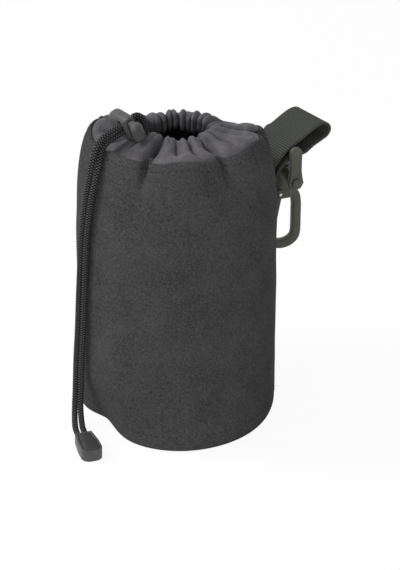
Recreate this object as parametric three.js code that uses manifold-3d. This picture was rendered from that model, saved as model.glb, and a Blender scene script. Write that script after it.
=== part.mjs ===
// Lens pouch: a padded round pouch with a drawstring collar, a sprung cord lock, a cord end, a webbing loop
// and a swivel snap hook. Millimetres, +Z up. The origin is at the centre of the base's underside.
// +Y is the back, which carries the webbing loop, and -Y the front, where the drawcord comes out.

import * as THREE from 'three';
import { mergeVertices } from 'three/addons/utils/BufferGeometryUtils.js';
import Module from 'manifold-3d';

const wasm = await Module();
wasm.setup();

// Clearances
const seatGap = 0.3; // between two pieces that touch
const runningGap = 0.3; // round a pin, stem or plunger that moves

// Padded body
const bodyRadius = 50;
const wallThickness = 4.5;
const baseThickness = 4.5;
const baseEdgeRound = 3.5;
const shoulderHeight = 100; // where the wall starts to curve inwards
const seamHeight = 153; // top edge of the wall, where the collar is sewn on
const seamEdge = 1.4; // thickness that the wall is pressed to at the seam
const shoulderInset = 8; // how far the wall comes in up to the seam
const bindingWidth = 8;
const bindingThickness = 1;
const seamTapeWidth = 17;
const seamTapeThickness = 0.8;

// Puckers that the drawn cord pulls into the top of the wall
const puckerAngles = [-57, -2, 53, 108, 163, 218]; // degrees from +X
const puckerDepth = 4;
const puckerSpread = 8.5; // degrees
const puckerReach = 35; // how far down the wall a pucker runs
const puckerInner = 34; // radius on the collar where a pucker ends

// One side of the top that has sunk in
const sinkAngle = 130; // degrees from +X
const sinkDepth = 9; // down, at the seam
const sinkInwards = 0.45; // share of that depth

// Collar and the cord tunnel in its hem
const collarThickness = 1;
const hemRadius = 20.4; // middle of the tunnel
const hemDrop = 2.1; // from the seam's height down to the tunnel's middle
const seamOverlap = 10; // collar cloth under the wall's edge

// Drawcord
const cordDiameter = 3;
const cordSpacing = 3.8; // between the two cords, side by side

// Cord lock: X along the plunger, Y along the cords towards the mouth, Z across the two cords
const lockOut = 8.8; // from the hem tunnel out to the lock
const lockRise = 11.1; // from the hem tunnel up to the lock
const lockPitch = 22; // degrees about X
const lockWall = 1.3;
const lockSlotWall = 1; // plunger beside its cord slot
const lockDepth = 6.4; // along the cords
const lockBack = -12.3; // rounded closed end of the housing
const lockMouth = 4.6; // open end of the housing
const lockEdge = 2.3; // rounding along the housing's edges
const lockSlotRoom = 1.2; // free length of the housing's cord slot above the cords
const boreFloor = -6.8; // inner end of the bore that the plunger goes into
const plungerTravel = 2.4;
const plungerEnd = -3; // inner end of the plunger
const headLength = 3.8;
const headInset = 1.4; // the head is this much smaller than the housing all round
const springWire = 0.6;
const springRadius = 1.3;
const springTurns = 3;

// Cord end, lying on the floor
const endAside = 8; // from the middle of the front to the cord end's neck
const endOut = 13; // from the wall to the cord end's neck
const endTurn = -16.7; // degrees from +X
const endLength = 19;
const endWidth = 10.8;
const endNeck = 8.7; // width where the cords go in
const endHeight = 6;
const endCorner = 4.2; // round the two corners of the tip
const endRim = 1.2;
const endCover = 1.2; // thickness of the cover
const endSocket = 7; // depth of the cord sockets
const socketHeight = 2.8; // middle of a socket above the floor
const socketFit = 0.25; // round a cord in its socket

// Webbing loop
const strapWidth = 25;
const strapThickness = 1.5;
const strapSag = 126; // height of the lower ply under the hook
const loopRise = 13.2; // from there up to the top of the upper ply
const loopReach = 19.7; // from the hook out to the fold
const sewnDrop = 10; // from the sag down to the top of the sewn stretch
const sewnLength = 17.5;
const tackWidth = 22;
const tackHeight = 2.4;
const tackThickness = 0.6;
const tackShares = [0.2, 0.66]; // up the sewn stretch

// Swivel hook, hanging on the lower ply
const hookStand = 15.5; // from the wall to the swivel axis
const hookYaw = -12.6; // degrees about Z, as the hook has turned in the loop
const bailDrop = 16; // from the middle of the bail's bar down to its pins
const bailBar = 3.4;
const bailLeg = 2.8; // thickness of a leg
const bailEarRadius = 4.4; // round the pin
const bailArchRadius = 3.3; // round the bar
const bailNeck = 6.3; // width of a leg between them
const bailSideGap = 1.7; // from the webbing's edge to a leg, with room for the yaw
const pinDiameter = 2.6;
const pinHeadDiameter = 4.8;
const pinHeadLength = 1;
const pinDepth = 4; // how far a pin goes into the yoke
const yokeBar = 6.4;
const yokeBarrel = 9;
const yokeTop = 3.7;
const yokeBottom = -9;
const stemDiameter = 4.8;
const snapHeadDiameter = 7;
const snapHeadLength = 1.5;
const frameWidth = 4.8; // hook bar, across the hook
const frameBar = 5; // hook bar, in the hook's plane
const spineOffset = 8;
const noseOffset = -7;
const bendHeight = -36; // where the hook's bend starts
const bendDepth = 5.5; // of the bend's middle line
const noseTop = -34.8;
const noseLip = 1.4;
const gateWidth = 4.5;
const gatePinDiameter = 1.6;
const gatePinPlace = [-2.2, -11.9];
const gateRoot = 3.6;
const gateTipOffset = -5.4;
const gateTip = 1.4; // thickness at the tip

// Facets
const ringSegments = 48;
const smallSegments = 20;

const cloth = (color) => new THREE.MeshStandardMaterial({ color, roughness: 0.95, metalness: 0 });
const plastic = (color) => new THREE.MeshStandardMaterial({ color, roughness: 0.5, metalness: 0 });
const paddedCloth = cloth(0x414142);
const collarCloth = cloth(0x565557);
const cordBraid = cloth(0x38383a);
const webbing = cloth(0x4c4e4b);
const thread = cloth(0x303032);
const blackPlastic = plastic(0x4c4c4e);
const hookPlastic = plastic(0x50514a);
const springSteel = new THREE.MeshStandardMaterial({ color: 0xb4b4b4, roughness: 0.35, metalness: 1 });

// Sizes that follow from these
const seamRadius = bodyRadius - shoulderInset;
const hemHeight = seamHeight - hemDrop;
const hookReach = bodyRadius + hookStand;

const radians = THREE.MathUtils.degToRad;
const smooth = THREE.MathUtils.smoothstep;
const sides = [-1, 1];

const pouch = new THREE.Group();

function addMesh(parent, name, geometry, material) {
  const mesh = new THREE.Mesh(geometry, material);
  mesh.name = name;
  parent.add(mesh);
}

// Geometry helpers

function weld(geometry) {
  const bare = geometry.clone();
  bare.deleteAttribute('normal');
  bare.deleteAttribute('uv');
  return mergeVertices(bare, 1e-3);
}

function signedVolume(geometry) {
  const place = geometry.attributes.position;
  const a = new THREE.Vector3();
  const b = new THREE.Vector3();
  const c = new THREE.Vector3();
  let sum = 0;
  for (let i = 0; i < geometry.index.count; i += 3) {
    a.fromBufferAttribute(place, geometry.index.getX(i));
    b.fromBufferAttribute(place, geometry.index.getX(i + 1));
    c.fromBufferAttribute(place, geometry.index.getX(i + 2));
    sum += a.dot(b.cross(c)) / 6;
  }
  return sum;
}

// The welded shape with its faces pointing out.
function closed(geometry) {
  const shape = weld(geometry);
  if (signedVolume(shape) < 0) {
    const index = shape.index.array;
    for (let i = 0; i < index.length; i += 3) {
      [index[i + 1], index[i + 2]] = [index[i + 2], index[i + 1]];
    }
  }
  shape.computeVertexNormals();
  return shape;
}

function solidOf(geometry) {
  const shape = closed(geometry);
  const vertProperties = new Float32Array(shape.attributes.position.array);
  const triVerts = new Uint32Array(shape.index.array);
  return new wasm.Manifold(new wasm.Mesh({ numProp: 3, vertProperties, triVerts }));
}

function geometryOf(solid) {
  const mesh = solid.getMesh();
  const geometry = new THREE.BufferGeometry();
  geometry.setAttribute('position', new THREE.BufferAttribute(mesh.vertProperties, 3));
  geometry.setIndex(new THREE.BufferAttribute(mesh.triVerts, 1));
  geometry.computeVertexNormals();
  return geometry;
}

function joined(...geometries) {
  return geometryOf(geometries.map(solidOf).reduce((whole, part) => whole.add(part)));
}

function cutBy(geometry, ...tools) {
  return geometryOf(tools.map(solidOf).reduce((rest, tool) => rest.subtract(tool), solidOf(geometry)));
}

const flat = (points) => points.map(([u, v]) => new THREE.Vector2(u, v));
const spatial = (points) => points.map(([x, y, z]) => new THREE.Vector3(x, y, z));

// A closed outline of [radius, height] points turned about Z.
function turned(outline) {
  const geometry = new THREE.LatheGeometry(flat([...outline, outline[0]]), ringSegments);
  geometry.rotateX(Math.PI / 2);
  return closed(geometry);
}

// A closed band of even thickness along a row of points.
function band(points, thickness) {
  const upper = [];
  const lower = [];
  points.forEach(([u, v], i) => {
    const [u0, v0] = points[Math.max(i - 1, 0)];
    const [u1, v1] = points[Math.min(i + 1, points.length - 1)];
    const half = thickness / 2 / Math.hypot(u1 - u0, v1 - v0);
    upper.push([u - (v1 - v0) * half, v + (u1 - u0) * half]);
    lower.unshift([u + (v1 - v0) * half, v - (u1 - u0) * half]);
  });
  return [...upper, ...lower];
}

// A [Y, Z] shape made into a slab across X, centred on X = 0.
function acrossX(shape, width, { bevel = 0, steps = 1 } = {}) {
  const geometry = new THREE.ExtrudeGeometry(shape, {
    depth: width - 2 * bevel,
    steps,
    curveSegments: 3,
    bevelEnabled: bevel > 0,
    bevelSize: bevel,
    bevelThickness: bevel,
    bevelOffset: -bevel,
    bevelSegments: 1,
  });
  geometry.translate(0, 0, bevel - width / 2);
  const toX = new THREE.Matrix4().makeBasis(
    new THREE.Vector3(0, 1, 0), new THREE.Vector3(0, 0, 1), new THREE.Vector3(1, 0, 0));
  geometry.applyMatrix4(toX);
  return geometry;
}

function rodX(diameter, from, to, segments = smallSegments) {
  const geometry = new THREE.CylinderGeometry(diameter / 2, diameter / 2, to - from, segments);
  geometry.rotateZ(Math.PI / 2);
  geometry.translate((from + to) / 2, 0, 0);
  return geometry;
}

function rodZ(diameter, from, to, segments = smallSegments) {
  const geometry = new THREE.CylinderGeometry(diameter / 2, diameter / 2, to - from, segments);
  geometry.rotateX(Math.PI / 2);
  geometry.translate(0, 0, (from + to) / 2);
  return geometry;
}

function block([x0, x1], [y0, y1], [z0, z1]) {
  const geometry = new THREE.BoxGeometry(x1 - x0, y1 - y0, z1 - z0);
  geometry.translate((x0 + x1) / 2, (y0 + y1) / 2, (z0 + z1) / 2);
  return geometry;
}

// A rectangle with round corners, centred on the origin.
function roundedRectangle(width, height, radius) {
  const shape = new THREE.Shape();
  const right = width / 2 - radius;
  const top = height / 2 - radius;
  shape.absarc(right, top, radius, 0, Math.PI / 2);
  shape.absarc(-right, top, radius, Math.PI / 2, Math.PI);
  shape.absarc(-right, -top, radius, Math.PI, Math.PI * 1.5);
  shape.absarc(right, -top, radius, Math.PI * 1.5, Math.PI * 2);
  return shape;
}

function polygon(diameter, count) {
  const points = [];
  for (let i = 0; i < count; i += 1) {
    const angle = ((i + 0.5) / count) * Math.PI * 2;
    points.push([Math.cos(angle) * diameter / 2, Math.sin(angle) * diameter / 2]);
  }
  return new THREE.Shape(flat(points));
}

// A section carried along a smooth curve through the points.
function swept(section, points, steps) {
  const extrudePath = new THREE.CatmullRomCurve3(points);
  const options = { extrudePath, steps, bevelEnabled: false, curveSegments: 1 };
  return closed(new THREE.ExtrudeGeometry(section, options));
}

// Draws the upper wall and the collar in where the puckers are, and lets one side of the top sink.
function gathered(geometry) {
  const place = geometry.attributes.position;
  for (let i = 0; i < place.count; i += 1) {
    const x = place.getX(i);
    const y = place.getY(i);
    const z = place.getZ(i);
    const radius = Math.hypot(x, y);
    const angle = THREE.MathUtils.radToDeg(Math.atan2(y, x));
    const pull = puckerAngles.reduce((sum, middle) => {
      const away = THREE.MathUtils.euclideanModulo(angle - middle + 180, 360) - 180;
      return sum + Math.exp(-((away / puckerSpread) ** 2));
    }, 0);
    const height = smooth(z, seamHeight - puckerReach, seamHeight);
    const share = height * smooth(radius, puckerInner - puckerDepth, seamRadius);
    const sink = sinkDepth * share * smooth(Math.cos(radians(angle - sinkAngle)), -0.2, 0.6);
    const scale = 1 - (puckerDepth * pull * share + sinkInwards * sink) / radius;
    place.setXYZ(i, x * scale, y * scale, z - sink);
  }
  return closed(geometry);
}

// Padded body

const wallInner = bodyRadius - wallThickness;
const seamInside = seamHeight - seamEdge; // lower edge of the wall's top

// A quarter of an oval from the upright wall to the seam.
function shoulderArc([startRadius, startHeight], [endRadius, endHeight]) {
  const points = [];
  for (let turn = 0; turn <= 90; turn += 15) {
    const radius = endRadius + (startRadius - endRadius) * Math.cos(radians(turn));
    points.push([radius, startHeight + (endHeight - startHeight) * Math.sin(radians(turn))]);
  }
  return points;
}

function makeBodyWall() {
  const slant = baseEdgeRound * (1 - Math.SQRT1_2);
  const outer = shoulderArc([bodyRadius, shoulderHeight], [seamRadius, seamHeight]);
  const inner = shoulderArc([wallInner, shoulderHeight], [seamRadius, seamInside]);
  const outline = [
    [wallInner, 0],
    [bodyRadius - baseEdgeRound, 0],
    [bodyRadius - slant, slant],
    [bodyRadius, baseEdgeRound],
    ...outer,
    ...inner.reverse(),
  ];
  return gathered(turned(outline));
}

function makeBaseDisc() {
  return closed(rodZ(2 * (wallInner - seatGap), 0, baseThickness, ringSegments));
}

function makeBaseBinding() {
  const outer = wallInner - seatGap;
  const foot = baseThickness + seatGap;
  return turned([
    [outer - bindingWidth, foot],
    [outer, foot],
    [outer, foot + bindingWidth],
    [outer - bindingThickness, foot + bindingWidth],
    [outer - bindingThickness, foot + bindingThickness],
    [outer - bindingWidth, foot + bindingThickness],
  ]);
}

function makeSeamTape() {
  const outer = wallInner - 2 * seatGap; // clear of the wall's facets
  const half = seamTapeWidth / 2 / outer;
  const foot = baseThickness + bindingWidth + 2 * seatGap;
  const shape = new THREE.Shape();
  shape.absarc(0, 0, outer, Math.PI / 2 - half, Math.PI / 2 + half, false);
  shape.absarc(0, 0, outer - seamTapeThickness, Math.PI / 2 + half, Math.PI / 2 - half, true);
  const depth = shoulderHeight - foot;
  const geometry = new THREE.ExtrudeGeometry(shape, { depth, bevelEnabled: false, curveSegments: 6 });
  geometry.translate(0, 0, foot);
  return closed(geometry);
}

addMesh(pouch, 'body_wall', makeBodyWall(), paddedCloth);
addMesh(pouch, 'base_disc', makeBaseDisc(), paddedCloth);
addMesh(pouch, 'base_binding', makeBaseBinding(), thread);
addMesh(pouch, 'back_seam_tape', makeSeamTape(), thread);

// Places of the cord lock, which both cords go straight through, and of the cord end, which takes their ends

const lock = new THREE.Group();
lock.position.set(0, -hemRadius - lockOut, hemHeight + lockRise);
lock.rotation.x = radians(lockPitch);
lock.updateMatrix();
pouch.add(lock);

const cordEnd = new THREE.Group();
cordEnd.position.set(endAside, -bodyRadius - endOut, 0);
cordEnd.rotation.z = radians(endTurn);
cordEnd.updateMatrix();
pouch.add(cordEnd);

const lockPoint = (along, side) =>
  new THREE.Vector3(0, along, side * cordSpacing / 2).applyMatrix4(lock.matrix);
const socketPoint = (along, side) =>
  new THREE.Vector3(along, side * cordSpacing / 2, socketHeight).applyMatrix4(cordEnd.matrix);

// Drawcord: the hoop in the hem with its two leads through the lock, and the two free cords

const cordJoint = -lockDepth / 2 - 0.2; // along the lock, where a free cord follows on
const leadOut = lockDepth / 2 + seatGap; // along the lock, where a lead comes out on the mouth side
const straightRun = -15; // along the lock, where the free cords start to bend
const hoopGap = 22; // degrees on each side of the front where the hoop leaves the tunnel

// Leads: across, out from the hem tunnel, up from the hem tunnel.
const upperLead = [
  [0.1, 3.8, 15], [0.5, 1.8, 14.3], [1, 0.1, 11.7], [1.3, -0.6, 8.3], [1.6, -0.7, 4.7], [2.6, -0.8, 1.7],
];
const lowerLead = [
  [-1.3, 1.6, 11.4], [-2.4, -0.2, 10.1], [-3.2, -1.2, 7.7], [-3.6, -1.2, 4.5], [-4.6, -1.2, 1.5],
];

// Free cords where they hang: across, out from the wall, share of the seam's height.
const leftHang = [
  [0.63, -2.37, 1.008], [0.89, -0.41, 0.976], [0.46, 0.82, 0.94], [-0.31, 1.45, 0.905], [-1.11, 1.93, 0.869],
  [-1.84, 2.32, 0.835], [-3.04, 2.77, 0.784], [-4.24, 3.07, 0.732], [-5.52, 3.33, 0.66], [-6.59, 3.43, 0.588],
  [-8.07, 3.51, 0.484], [-9.66, 3.61, 0.353], [-11.46, 3.81, 0.229], [-11.85, 4.25, 0.141],
];
const rightHang = [
  [1.17, -4.43, 0.991], [2.51, -2.79, 0.964], [2.94, -1.22, 0.933], [2.71, 0.05, 0.902], [2.11, 0.97, 0.869],
  [1.44, 1.58, 0.835], [0.24, 2.03, 0.784], [-0.96, 2.33, 0.732], [-2.28, 2.47, 0.66], [-3.41, 2.37, 0.588],
  [-4.93, 2.29, 0.484], [-6.54, 2.39, 0.353], [-8.34, 2.59, 0.229], [-8.75, 2.95, 0.141],
];

// Free cords where they come down on the floor: across, out from the wall, height.
const leftFloor = [
  [-11.56, 4.82, 14.7], [-10.1, 6.2, 8.5], [-6.6, 8.55, 4.2], [-1.8, 11.27, 2.9], [3, 13.3, 2.8],
];
const rightFloor = [
  [-8.44, 3.58, 14.7], [-7.1, 4.6, 8.5], [-4.2, 6.05, 4.2], [-0.2, 8.03, 2.9], [4, 9.7, 2.8],
];

const leadPoint = ([across, out, up]) => [across, -hemRadius - out, hemHeight + up];
const hangPoint = ([across, out, share]) => [across, -bodyRadius - out, seamHeight * share];
const floorPoint = ([across, out, up]) => [across, -bodyRadius - out, up];
const leftCord = [...leftHang.map(hangPoint), ...leftFloor.map(floorPoint)];
const rightCord = [...rightHang.map(hangPoint), ...rightFloor.map(floorPoint)];

function leadRoute(points, side) {
  const throughLock = [cordJoint + seatGap, 0, leadOut].map((along) => lockPoint(along, side));
  return [...throughLock, ...spatial(points.map(leadPoint))];
}

const upperRoute = leadRoute(upperLead, 1);
const lowerRoute = leadRoute(lowerLead, -1);

function makeHoop() {
  const ring = [];
  for (let i = 0; i <= 24; i += 1) {
    const turn = radians(hoopGap - 90 + (360 - 2 * hoopGap) * i / 24);
    ring.push(new THREE.Vector3(hemRadius * Math.cos(turn), hemRadius * Math.sin(turn), hemHeight));
  }
  const route = [...upperRoute, ...ring, ...[...lowerRoute].reverse()];
  return swept(polygon(cordDiameter, 8), route, 60);
}

function makeFreeCord(points, side) {
  const start = [cordJoint, straightRun].map((along) => lockPoint(along, side));
  const end = [0, endSocket - seatGap].map((along) => socketPoint(along, -side));
  return swept(polygon(cordDiameter, 8), [...start, ...spatial(points), ...end], 64);
}

// Collar: a skirt from the seam to the rim, rolled over into the hem tunnel

function makeCollar() {
  const under = seatGap + collarThickness / 2; // from a face of the wall to the collar's middle
  const [r, h] = [hemRadius, hemHeight];
  const line = [
    [seamRadius + 2 - under, seamInside - seamOverlap],
    [seamRadius + 1.4 - under, seamInside - 5.6],
    [seamRadius + 0.8 - under, seamInside - 2.4],
    [seamRadius - 0.1 - under, seamInside - 0.2],
    [seamRadius - 2.4, seamInside + 0.6],
    [seamRadius - 9, seamInside - 0.9],
    [r + 7.6, h + 0.8],
    [r + 2.6, h + 4],
    [r - 0.7, h + 5],
    [r - 3.1, h + 3.8],
    [r - 3.8, h + 0.8],
    [r - 3.3, h - 2.8],
    [r - 0.2, h - 4.8],
    [r + 3.4, h - 3.8],
    [r + 6.4, h - 0.1],
  ];
  const sheet = gathered(turned(band(line, collarThickness)));
  const holes = [upperRoute, lowerRoute].map((route) => {
    const rim = route.filter(({ z }, i) => i > 3 && z < h + 9);
    return swept(polygon(cordDiameter + 4 * seatGap, 8), rim, 8);
  });
  return cutBy(sheet, ...holes);
}

addMesh(pouch, 'collar', makeCollar(), collarCloth);
addMesh(pouch, 'drawcord_hoop', makeHoop(), cordBraid);
addMesh(pouch, 'drawcord_free_left', makeFreeCord(leftCord, 1), cordBraid);
addMesh(pouch, 'drawcord_free_right', makeFreeCord(rightCord, -1), cordBraid);

// Cord lock

const slotHeight = cordSpacing + cordDiameter + 2 * runningGap; // room for both cords, across
const slotLength = cordDiameter + 2 * runningGap; // room for a cord, along the plunger
const stemHeight = slotHeight + 2 * lockSlotWall;
const stemDepth = lockDepth - 2 * lockWall - 2 * runningGap;
const boreHeight = stemHeight + 2 * runningGap;
const boreDepth = stemDepth + 2 * runningGap;
const housingHeight = boreHeight + 2 * lockWall;
const headStart = lockMouth + plungerTravel + runningGap;

// A slab along X from one place to another, deep along Y and high along Z.
function barAlongX(from, to, depth, height, radius, bevel = 0) {
  const geometry = acrossX(roundedRectangle(depth, height, radius), to - from, { bevel });
  geometry.translate((from + to) / 2, 0, 0);
  return geometry;
}

// A slot for the cords, right through along Y, with free room above them where that is wanted.
function cordSlot(from, to, room = 0) {
  const shape = roundedRectangle(to - from, slotHeight + room, slotLength * 0.45);
  const depth = 2 * lockDepth;
  const geometry = new THREE.ExtrudeGeometry(shape, { depth, bevelEnabled: false, curveSegments: 2 });
  geometry.rotateX(Math.PI / 2);
  geometry.translate((from + to) / 2, lockDepth, room / 2);
  return geometry;
}

function makeLockHousing() {
  const radius = housingHeight / 2;
  const side = new THREE.Shape();
  side.moveTo(lockMouth, -radius);
  side.lineTo(lockMouth, radius);
  side.absarc(lockBack + radius, 0, radius, Math.PI / 2, Math.PI * 1.5, false);
  const shell = new THREE.ExtrudeGeometry(side, {
    depth: lockDepth - 2 * lockEdge,
    bevelThickness: lockEdge,
    bevelSize: lockEdge,
    bevelOffset: -lockEdge,
    bevelSegments: 4,
    curveSegments: 12,
  });
  shell.rotateX(Math.PI / 2);
  shell.translate(0, lockDepth / 2 - lockEdge, 0);
  const bore = barAlongX(boreFloor, lockMouth + lockWall, boreDepth, boreHeight, 1.6);
  return cutBy(shell, bore, cordSlot(-slotLength / 2, slotLength / 2, lockSlotRoom));
}

function makeLockPlunger() {
  const stem = barAlongX(plungerEnd, headStart + headLength / 2, stemDepth, stemHeight, 1.3);
  const headDepth = lockDepth - headInset / 2;
  const headHeight = housingHeight - 2 * headInset;
  const head = barAlongX(headStart, headStart + headLength, headDepth, headHeight, 2.4, 1);
  return cutBy(joined(stem, head), cordSlot(-slotLength / 2, slotLength / 2 + plungerTravel));
}

function makeLockSpring() {
  const from = boreFloor + seatGap + springWire / 2;
  const to = plungerEnd - seatGap - springWire / 2;
  const points = [];
  for (let i = 0; i <= springTurns * 8; i += 1) {
    const turn = (i / 8) * Math.PI * 2;
    const along = from + (to - from) * i / (springTurns * 8);
    points.push(new THREE.Vector3(along, springRadius * Math.cos(turn), springRadius * Math.sin(turn)));
  }
  return swept(polygon(springWire, 5), points, springTurns * 8);
}

addMesh(lock, 'lock_housing', makeLockHousing(), blackPlastic);
addMesh(lock, 'lock_plunger', makeLockPlunger(), blackPlastic);
addMesh(lock, 'lock_spring', makeLockSpring(), springSteel);

// Cord end: a tray with two cord sockets, and a cover let into it

function endSlab(inset, from, to) {
  const corner = endCorner - inset;
  const half = endWidth / 2 - inset;
  const neck = endNeck / 2 - inset;
  const tip = endLength - inset;
  const shape = new THREE.Shape();
  shape.moveTo(inset, -neck);
  shape.lineTo(endLength / 2, -half);
  shape.absarc(tip - corner, corner - half, corner, -Math.PI / 2, 0, false);
  shape.absarc(tip - corner, half - corner, corner, 0, Math.PI / 2, false);
  shape.lineTo(endLength / 2, half);
  shape.lineTo(inset, neck);
  const options = { depth: to - from, bevelEnabled: false, curveSegments: 4 };
  const geometry = new THREE.ExtrudeGeometry(shape, options);
  geometry.translate(0, 0, from);
  return geometry;
}

function makeEndTray() {
  const pocket = endSlab(endRim, endHeight - endCover - seatGap, endHeight + endCover);
  const sockets = sides.map((side) => {
    const socket = rodX(cordDiameter + 2 * socketFit, -endRim, endSocket, 12);
    socket.translate(0, side * cordSpacing / 2, socketHeight);
    return socket;
  });
  return cutBy(endSlab(0, 0, endHeight), pocket, ...sockets);
}

function makeEndCover() {
  return closed(endSlab(endRim + seatGap, endHeight - endCover, endHeight));
}

addMesh(cordEnd, 'cord_end_tray', makeEndTray(), blackPlastic);
addMesh(cordEnd, 'cord_end_cover', makeEndCover(), blackPlastic);

// Webbing loop, both plies sewn on the back

const innerPly = bodyRadius + seatGap + strapThickness / 2;
const outerPly = innerPly + strapThickness + seatGap;

// Lets a flat piece on the back follow the round wall, and leaves the standing loop flat.
function wrapped(geometry) {
  const place = geometry.attributes.position;
  for (let i = 0; i < place.count; i += 1) {
    const y = place.getY(i);
    const drop = bodyRadius - Math.sqrt(bodyRadius ** 2 - place.getX(i) ** 2);
    place.setY(i, y - drop * (1 - smooth(y, outerPly + 2, outerPly + 10)));
  }
  return closed(geometry);
}

const sewnTop = strapSag - sewnDrop;
const strapFoot = sewnTop - sewnLength;

function makeStrap() {
  const stand = hookReach - outerPly;
  const standing = (share, up) => [outerPly + share * stand, strapSag + up * loopRise];
  const reaching = (share, up) => [hookReach + share * loopReach, strapSag + up * loopRise];
  const sewn = (ply, share) => [ply, strapFoot + share * sewnLength];
  const line = new THREE.SplineCurve(flat([
    sewn(innerPly, 0),
    sewn(innerPly, 0.6),
    sewn(innerPly, 1),
    [innerPly + 0.08 * stand, strapSag - 0.34 * loopRise],
    standing(0.22, 0.02),
    standing(0.65, 0.41),
    reaching(0.16, 0.64),
    reaching(0.55, 0.88),
    reaching(0.8, 1),
    reaching(0.97, 0.955),
    reaching(1, 0.76),
    reaching(0.85, 0.545),
    reaching(0.55, 0.3),
    reaching(0.275, 0.025),
    reaching(0, 0),
    standing(0.65, -0.03),
    standing(0.33, -0.3),
    standing(0.095, -0.68),
    sewn(outerPly, 0.71),
    sewn(outerPly, 0.37),
    sewn(outerPly, 0),
  ])).getPoints(48).map(({ x, y }) => [x, y]);
  const section = new THREE.Shape(flat(band(line, strapThickness)));
  return wrapped(acrossX(section, strapWidth, { steps: 4 }));
}

function makeTack(share) {
  const height = strapFoot + share * sewnLength;
  const foot = outerPly + strapThickness / 2 + seatGap;
  const outline = [
    [foot, height - tackHeight / 2],
    [foot + tackThickness, height - tackHeight / 2],
    [foot + tackThickness, height + tackHeight / 2],
    [foot, height + tackHeight / 2],
  ];
  return wrapped(acrossX(new THREE.Shape(flat(outline)), tackWidth, { steps: 4 }));
}

addMesh(pouch, 'strap', makeStrap(), webbing);
addMesh(pouch, 'strap_tack_lower', makeTack(tackShares[0]), thread);
addMesh(pouch, 'strap_tack_upper', makeTack(tackShares[1]), thread);

// Swivel hook: the bail hangs on the lower ply, and everything below hangs on its pins

const bailLevel = strapSag + strapThickness / 2 + 2 * seatGap + bailBar / 2;
const hook = new THREE.Group();
hook.position.set(0, hookReach, bailLevel - bailDrop);
hook.rotation.z = radians(hookYaw);
pouch.add(hook);

const legInner = strapWidth / 2 + bailSideGap;
const legOuter = legInner + bailLeg;
const yokeHalf = legInner - runningGap;
const pinInner = yokeHalf - pinDepth;

function makeBail() {
  const neck = bailNeck / 2;
  const leg = new THREE.Shape();
  leg.absarc(0, 0, bailEarRadius, Math.PI * 0.82, Math.PI * 2.18, false);
  leg.lineTo(neck, bailDrop * 0.4);
  leg.lineTo(neck, bailDrop * 0.7);
  leg.absarc(0, bailDrop, bailArchRadius, 0, Math.PI, false);
  leg.lineTo(-neck, bailDrop * 0.7);
  leg.lineTo(-neck, bailDrop * 0.4);
  const legs = sides.map((side) => {
    const plate = acrossX(leg, bailLeg, { bevel: 0.5 });
    plate.translate(side * (legInner + bailLeg / 2), 0, 0);
    return plate;
  });
  const bar = rodX(bailBar, -legInner - bailLeg / 2, legInner + bailLeg / 2, 16);
  bar.translate(0, 0, bailDrop);
  const holes = rodX(pinDiameter + 2 * seatGap, -2 * legOuter, 2 * legOuter, 16);
  return cutBy(joined(...legs, bar), holes);
}

function makePin(side) {
  const headFoot = legOuter + seatGap;
  const shaft = rodX(pinDiameter, pinInner, headFoot + pinHeadLength / 2, 16);
  const head = rodX(pinHeadDiameter, headFoot, headFoot + pinHeadLength);
  const pin = joined(shaft, head);
  if (side < 0) {
    pin.rotateZ(Math.PI);
  }
  return closed(pin);
}

function makeYoke() {
  const bar = rodX(yokeBar, -yokeHalf, yokeHalf);
  const barrel = rodZ(yokeBarrel, yokeBottom, yokeTop, 24);
  const bore = rodZ(stemDiameter + 2 * runningGap, 2 * yokeBottom, 2 * yokeTop);
  const socketDiameter = pinDiameter + 2 * runningGap;
  const right = rodX(socketDiameter, pinInner - seatGap, 2 * yokeHalf, 16);
  const left = rodX(socketDiameter, -2 * yokeHalf, seatGap - pinInner, 16);
  return cutBy(joined(bar, barrel), bore, right, left);
}

function makeHookFrame() {
  const shoulder = yokeBottom - runningGap;
  const [pinOffset, pinHeight] = gatePinPlace;
  const headFoot = pinHeight - gateRoot / 2 - 0.4;
  const cheek = gateWidth / 2 + runningGap; // inner face of a cheek beside the gate
  const snapFoot = yokeTop + runningGap;
  const stem = rodZ(stemDiameter, shoulder - 1, snapFoot + snapHeadLength / 2);
  const snapHead = rodZ(snapHeadDiameter, snapFoot, snapFoot + snapHeadLength);
  const depth = shoulder - headFoot;
  const head = new THREE.ExtrudeGeometry(
    roundedRectangle(2 * cheek + 3.2, yokeBarrel, 2.2), { depth, bevelEnabled: false, curveSegments: 4 });
  head.translate(0, 0, headFoot);
  const top = shoulder - frameBar / 2;
  const bend = (spineOffset - noseOffset) / 2;
  const line = [
    [1.5, top + 0.1],
    [4.6, top - 0.2],
    [spineOffset - 1, top - 2.2],
    [spineOffset, top - 6],
    [spineOffset + 0.2, top - 13],
    [spineOffset, bendHeight],
  ];
  for (let turn = 22.5; turn <= 180; turn += 22.5) {
    const away = bend * Math.cos(radians(turn));
    line.push([noseOffset + bend + away, bendHeight - bendDepth * Math.sin(radians(turn))]);
  }
  line.push([noseOffset, noseTop]);
  const route = line.map(([y, z]) => new THREE.Vector3(0, y, z));
  const bar = swept(roundedRectangle(frameWidth, frameBar, 1.4), route, 30);
  const noseOuter = noseOffset - frameBar / 2;
  const lip = block(
    [1 - frameWidth / 2, frameWidth / 2 - 1],
    [noseOuter + 0.4, gateTipOffset - gateTip / 2 - 2 * seatGap],
    [noseTop - 1, noseTop + noseLip]);
  const gateSlot = block(
    [-cheek, cheek],
    [-yokeBarrel, pinOffset + gateRoot / 2 + 2 * runningGap],
    [headFoot - 1, pinHeight + gateRoot / 2 + runningGap]);
  const pinHole = rodX(gatePinDiameter + 2 * seatGap, -2 * cheek, 2 * cheek, 12);
  pinHole.translate(0, pinOffset, pinHeight);
  return cutBy(joined(stem, snapHead, head, bar, lip), gateSlot, pinHole);
}

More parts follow.
